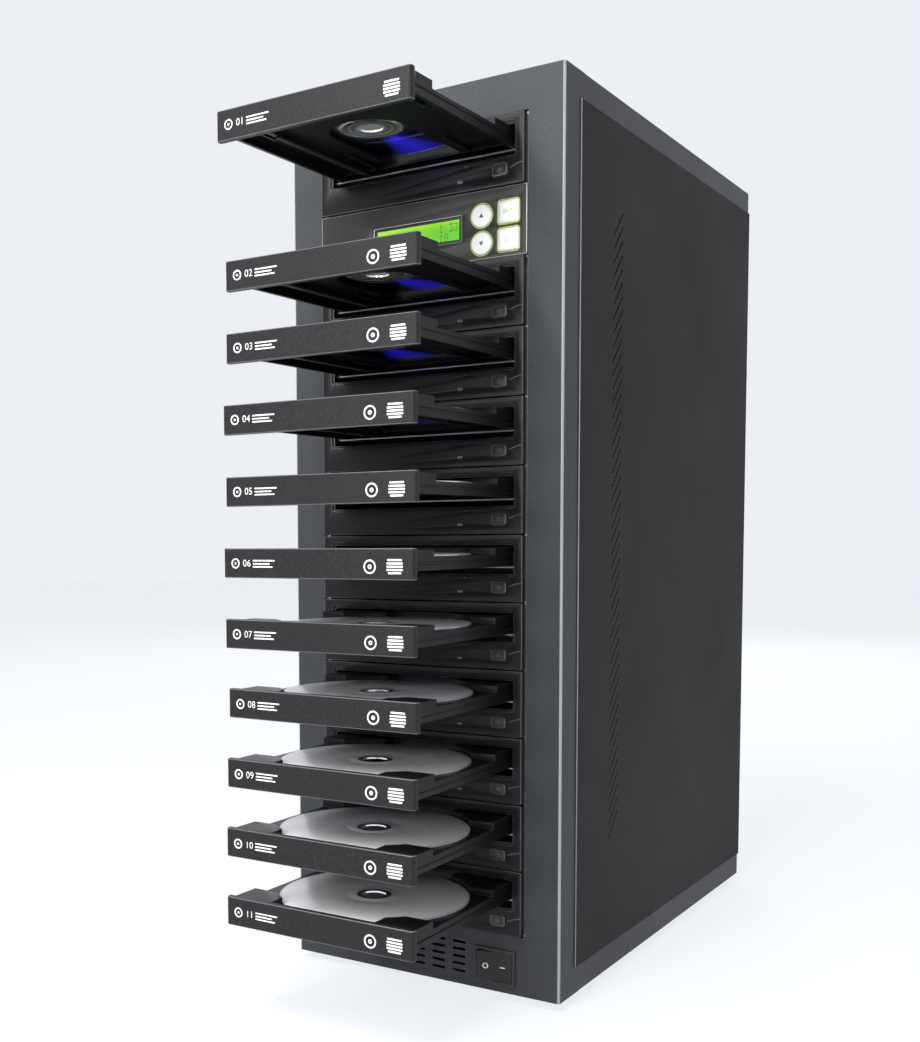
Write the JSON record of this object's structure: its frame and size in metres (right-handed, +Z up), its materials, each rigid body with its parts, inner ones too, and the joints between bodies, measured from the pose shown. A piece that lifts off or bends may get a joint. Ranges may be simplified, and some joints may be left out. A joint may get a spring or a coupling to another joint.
{
  "type": "disc duplicator tower",
  "caption": "Upright steel tower with a column of disc drives whose trays slide out, a small control panel and a rocker switch.",
  "frame": {"origin": "under the middle of the object as drawn with its trays out, level with the bottom of the feet", "axes": "+Z up, the drives face -Y, +X to the right of someone facing the drives"},
  "size_m": [0.202, 0.515, 0.586],
  "materials": {
    "case_paint": "fine-textured black powder coat",
    "panel_paint": "fine-textured charcoal powder coat",
    "zinc_steel": "zinc-plated sheet steel",
    "foot_rubber": "matte black rubber",
    "screw_steel": "plated steel",
    "bezel_plastic": "fine-textured black moulding",
    "tray_plastic": "satin black moulding",
    "disc_silver": "silver printable top over a polished rim",
    "disc_dark": "polished, violet-blue recording side",
    "light_lens": "smoked clear lens",
    "gunmetal": "satin gunmetal paint with bright bevels",
    "display_glass": "lit green display",
    "circuit_board": "green solder mask",
    "switch_plastic": "black moulding",
    "fan_plastic": "black moulding",
    "cable_sleeve": "braided black sleeve",
    "key_plastic": "white translucent moulding"
  },
  "bodies": {
    "case": {"front_panel": "case_paint", "top_cover": "case_paint", "base_pan": "case_paint", "left_side_panel": "panel_paint", "right_side_panel": "panel_paint", "rear_panel": "case_paint", "drive_cage": "zinc_steel", "feet": "foot_rubber", "thumbscrews": "screw_steel", "drive_bezels": "bezel_plastic", "drive_lights": "light_lens", "drive_cases": "zinc_steel", "controller_panel": "gunmetal", "lcd_display": "display_glass", "circuit_boards": "circuit_board", "controller_sled": "zinc_steel", "power_switch_housing": "switch_plastic", "power_supply": "zinc_steel", "power_inlet": "switch_plastic", "fan_frame": "fan_plastic", "cable_loom": "cable_sleeve"},
    "tray_unit_01": {"tray_01": "tray_plastic", "disc_01": "disc_dark"},
    "tray_unit_02": {"tray_02": "tray_plastic", "disc_02": "disc_dark"},
    "tray_unit_03": {"tray_03": "tray_plastic", "disc_03": "disc_dark"},
    "tray_unit_04": {"tray_04": "tray_plastic", "disc_04": "disc_dark"},
    "tray_unit_05": {"tray_05": "tray_plastic", "disc_05": "disc_dark"},
    "tray_unit_06": {"tray_06": "tray_plastic", "disc_06": "disc_dark"},
    "tray_unit_07": {"tray_07": "tray_plastic", "disc_07": "disc_dark"},
    "tray_unit_08": {"tray_08": "tray_plastic", "disc_08": "disc_dark"},
    "tray_unit_09": {"tray_09": "tray_plastic", "disc_09": "disc_silver"},
    "tray_unit_10": {"tray_10": "tray_plastic", "disc_10": "disc_silver"},
    "tray_unit_11": {"tray_11": "tray_plastic", "disc_11": "disc_silver"},
    "eject_01": {"eject_button_01": "bezel_plastic"},
    "eject_02": {"eject_button_02": "bezel_plastic"},
    "eject_03": {"eject_button_03": "bezel_plastic"},
    "eject_04": {"eject_button_04": "bezel_plastic"},
    "eject_05": {"eject_button_05": "bezel_plastic"},
    "eject_06": {"eject_button_06": "bezel_plastic"},
    "eject_07": {"eject_button_07": "bezel_plastic"},
    "eject_08": {"eject_button_08": "bezel_plastic"},
    "eject_09": {"eject_button_09": "bezel_plastic"},
    "eject_10": {"eject_button_10": "bezel_plastic"},
    "eject_11": {"eject_button_11": "bezel_plastic"},
    "up_key": {"up_button": "key_plastic"},
    "down_key": {"down_button": "key_plastic"},
    "enter_key": {"enter_button": "key_plastic"},
    "escape_key": {"escape_button": "key_plastic"},
    "rocker": {"power_rocker": "switch_plastic"},
    "fan": {"fan_rotor": "fan_plastic"}
  },
  "joints": [
    {"name": "tray_slide_01", "type": "slide", "parent": "case", "child": "tray_unit_01", "axis": [0, 1, 0], "range_m": [0, 0.125]},
    {"name": "tray_slide_02", "type": "slide", "parent": "case", "child": "tray_unit_02", "axis": [0, 1, 0], "range_m": [0, 0.1185]},
    {"name": "tray_slide_03", "type": "slide", "parent": "case", "child": "tray_unit_03", "axis": [0, 1, 0], "range_m": [0, 0.119]},
    {"name": "tray_slide_04", "type": "slide", "parent": "case", "child": "tray_unit_04", "axis": [0, 1, 0], "range_m": [0, 0.1225]},
    {"name": "tray_slide_05", "type": "slide", "parent": "case", "child": "tray_unit_05", "axis": [0, 1, 0], "range_m": [0, 0.121]},
    {"name": "tray_slide_06", "type": "slide", "parent": "case", "child": "tray_unit_06", "axis": [0, 1, 0], "range_m": [0, 0.1235]},
    {"name": "tray_slide_07", "type": "slide", "parent": "case", "child": "tray_unit_07", "axis": [0, 1, 0], "range_m": [0, 0.123]},
    {"name": "tray_slide_08", "type": "slide", "parent": "case", "child": "tray_unit_08", "axis": [0, 1, 0], "range_m": [0, 0.1205]},
    {"name": "tray_slide_09", "type": "slide", "parent": "case", "child": "tray_unit_09", "axis": [0, 1, 0], "range_m": [0, 0.123]},
    {"name": "tray_slide_10", "type": "slide", "parent": "case", "child": "tray_unit_10", "axis": [0, 1, 0], "range_m": [0, 0.1245]},
    {"name": "tray_slide_11", "type": "slide", "parent": "case", "child": "tray_unit_11", "axis": [0, 1, 0], "range_m": [0, 0.125]},
    {"name": "eject_press_01", "type": "slide", "parent": "case", "child": "eject_01", "axis": [0, 1, 0], "range_m": [0, 0.001], "stiffness_N_per_m": 600, "springref_m": -0.0008},
    {"name": "eject_press_02", "type": "slide", "parent": "case", "child": "eject_02", "axis": [0, 1, 0], "range_m": [0, 0.001], "stiffness_N_per_m": 600, "springref_m": -0.0008},
    {"name": "eject_press_03", "type": "slide", "parent": "case", "child": "eject_03", "axis": [0, 1, 0], "range_m": [0, 0.001], "stiffness_N_per_m": 600, "springref_m": -0.0008},
    {"name": "eject_press_04", "type": "slide", "parent": "case", "child": "eject_04", "axis": [0, 1, 0], "range_m": [0, 0.001], "stiffness_N_per_m": 600, "springref_m": -0.0008},
    {"name": "eject_press_05", "type": "slide", "parent": "case", "child": "eject_05", "axis": [0, 1, 0], "range_m": [0, 0.001], "stiffness_N_per_m": 600, "springref_m": -0.0008},
    {"name": "eject_press_06", "type": "slide", "parent": "case", "child": "eject_06", "axis": [0, 1, 0], "range_m": [0, 0.001], "stiffness_N_per_m": 600, "springref_m": -0.0008},
    {"name": "eject_press_07", "type": "slide", "parent": "case", "child": "eject_07", "axis": [0, 1, 0], "range_m": [0, 0.001], "stiffness_N_per_m": 600, "springref_m": -0.0008},
    {"name": "eject_press_08", "type": "slide", "parent": "case", "child": "eject_08", "axis": [0, 1, 0], "range_m": [0, 0.001], "stiffness_N_per_m": 600, "springref_m": -0.0008},
    {"name": "eject_press_09", "type": "slide", "parent": "case", "child": "eject_09", "axis": [0, 1, 0], "range_m": [0, 0.001], "stiffness_N_per_m": 600, "springref_m": -0.0008},
    {"name": "eject_press_10", "type": "slide", "parent": "case", "child": "eject_10", "axis": [0, 1, 0], "range_m": [0, 0.001], "stiffness_N_per_m": 600, "springref_m": -0.0008},
    {"name": "eject_press_11", "type": "slide", "parent": "case", "child": "eject_11", "axis": [0, 1, 0], "range_m": [0, 0.001], "stiffness_N_per_m": 600, "springref_m": -0.0008},
    {"name": "up_press", "type": "slide", "parent": "case", "child": "up_key", "axis": [0, 1, 0], "range_m": [0, 0.0006], "stiffness_N_per_m": 900, "springref_m": -0.0006},
    {"name": "down_press", "type": "slide", "parent": "case", "child": "down_key", "axis": [0, 1, 0], "range_m": [0, 0.0006], "stiffness_N_per_m": 900, "springref_m": -0.0006},
    {"name": "enter_press", "type": "slide", "parent": "case", "child": "enter_key", "axis": [0, 1, 0], "range_m": [0, 0.0006], "stiffness_N_per_m": 900, "springref_m": -0.0006},
    {"name": "escape_press", "type": "slide", "parent": "case", "child": "escape_key", "axis": [0, 1, 0], "range_m": [0, 0.0006], "stiffness_N_per_m": 900, "springref_m": -0.0006},
    {"name": "power_switch_rock", "type": "hinge", "parent": "case", "child": "rocker", "pos_m": [0.055, -0.1279, 0.0227], "axis": [0, 0, 1], "range_deg": [-14, 0]},
    {"name": "fan_spin", "type": "hinge", "parent": "case", "child": "fan", "pos_m": [0, 0.2365, 0.436], "axis": [0, 1, 0], "continuous": true}
  ]
}
